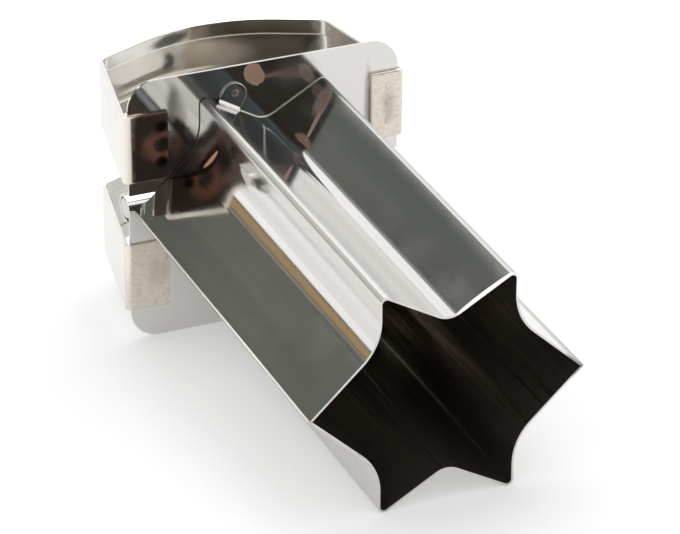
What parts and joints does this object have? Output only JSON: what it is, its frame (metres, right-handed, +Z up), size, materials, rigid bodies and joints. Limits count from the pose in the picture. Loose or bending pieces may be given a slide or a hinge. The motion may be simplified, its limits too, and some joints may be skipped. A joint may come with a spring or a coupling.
{
  "type": "cookie cutter",
  "caption": "Star-shaped tube cutter in bright sheet steel that opens like tongs on a sprung rear hinge, with a finger bow on each half.",
  "frame": {"origin": "centre of the cutter's footprint, on the surface that it lies on", "axes": "+X along the hinge, +Y from the cutting edge towards the finger bows, +Z up as it lies on its side; the tube rises towards the bows by 3.7 degrees"},
  "size_m": [0.0572, 0.1208, 0.0539],
  "materials": {
    "tube_sheet": "polished",
    "plate_sheet": "polished",
    "bow_strip": "bright rolled",
    "pin_steel": "drawn",
    "spring_wire": "drawn"
  },
  "bodies": {
    "lower_jaw": {"lower_tube_half": "tube_sheet", "lower_plate": "plate_sheet", "lower_handle_bow": "bow_strip", "hinge_pin": "pin_steel", "torsion_spring": "spring_wire"},
    "upper_jaw": {"upper_tube_half": "tube_sheet", "upper_plate": "plate_sheet", "upper_handle_bow": "bow_strip"}
  },
  "joints": [
    {"name": "jaw_hinge", "type": "hinge", "parent": "lower_jaw", "child": "upper_jaw", "pos_m": [0, 0.02853, 0.02712], "axis": [-1, 0, 0], "range_deg": [0, 24], "stiffness_Nm_per_rad": 0.03, "springref_deg": -68.75, "deforming": ["torsion_spring"]}
  ]
}
